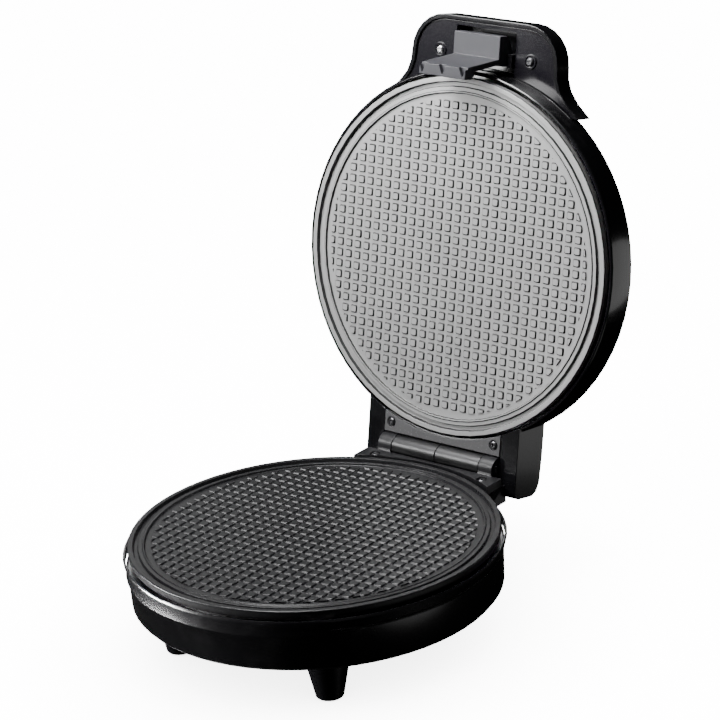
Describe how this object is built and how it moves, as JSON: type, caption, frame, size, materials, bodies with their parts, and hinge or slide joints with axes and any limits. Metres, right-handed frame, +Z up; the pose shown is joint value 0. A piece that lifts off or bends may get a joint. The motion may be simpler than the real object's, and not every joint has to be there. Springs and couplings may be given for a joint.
{
  "type": "waffle maker",
  "caption": "Round tabletop waffle-cone maker with a footed base, a hinged lid with matching baking plates, and a sprung front latch.",
  "frame": {"origin": "on the floor under the middle of the machine's bounding box, with the lid open", "axes": "+Z up, -Y towards the user and the latch side, +Y towards the hinge, +X to the user's right"},
  "size_m": [0.2304, 0.3258, 0.331],
  "materials": {
    "casing": "black moulded plastic, satin to glossy",
    "bottom_cover": "dark painted sheet",
    "hinge_bracket": "dark satin casting",
    "foot": "black moulded plastic",
    "foot_pad": "black rubber",
    "lower_plate": "cast, dark non-stick coat",
    "upper_plate": "cast, grey speckled non-stick coat",
    "heating_element": "dull sheathed tube",
    "reflector": "thin bright sheet",
    "ceramic": "pale ceramic body",
    "screw": "bright plated steel",
    "hinge_leaf": "dark satin metal",
    "hinge_cover": "light grey speckled coat",
    "handle_panel": "dark grey moulded plastic"
  },
  "bodies": {
    "base": {"base_housing": "casing", "bottom_cover": "bottom_cover", "hinge_bracket": "hinge_bracket", "foot_front_left": "foot", "foot_front_right": "foot", "foot_rear_left": "foot", "foot_rear_right": "foot", "foot_pad_front_left": "foot_pad", "foot_pad_front_right": "foot_pad", "foot_pad_rear_left": "foot_pad", "foot_pad_rear_right": "foot_pad", "lower_plate": "lower_plate", "lower_element": "heating_element", "lower_reflector": "reflector", "thermostat": "ceramic", "thermal_fuse": "reflector", "terminal_block": "ceramic", "cord_gland": "foot_pad", "bracket_screw_left": "screw", "bracket_screw_right": "screw", "hinge_pin": "screw"},
    "lid": {"lid_housing": "casing", "upper_plate": "upper_plate", "upper_element": "heating_element", "upper_reflector": "reflector", "hinge_cover": "hinge_cover", "hinge_cover_screw_left": "screw", "hinge_cover_screw_right": "screw", "hinge_leaf_left": "hinge_leaf", "hinge_leaf_right": "hinge_leaf", "handle_panel": "handle_panel", "handle_screw_left": "screw", "handle_screw_right": "screw", "latch_pin": "screw", "latch_spring": "screw"},
    "latch": {"latch": "casing"}
  },
  "joints": [
    {"name": "lid_hinge", "type": "hinge", "parent": "base", "child": "lid", "pos_m": [0, 0.07883, 0.0685], "axis": [1, 0, 0], "range_deg": [0, 101.7]},
    {"name": "latch_pivot", "type": "hinge", "parent": "lid", "child": "latch", "pos_m": [0, 0.14871, 0.30729], "axis": [-1, 0, 0], "range_deg": [0, 20], "stiffness_Nm_per_rad": 0.1, "springref_deg": -17.19}
  ]
}
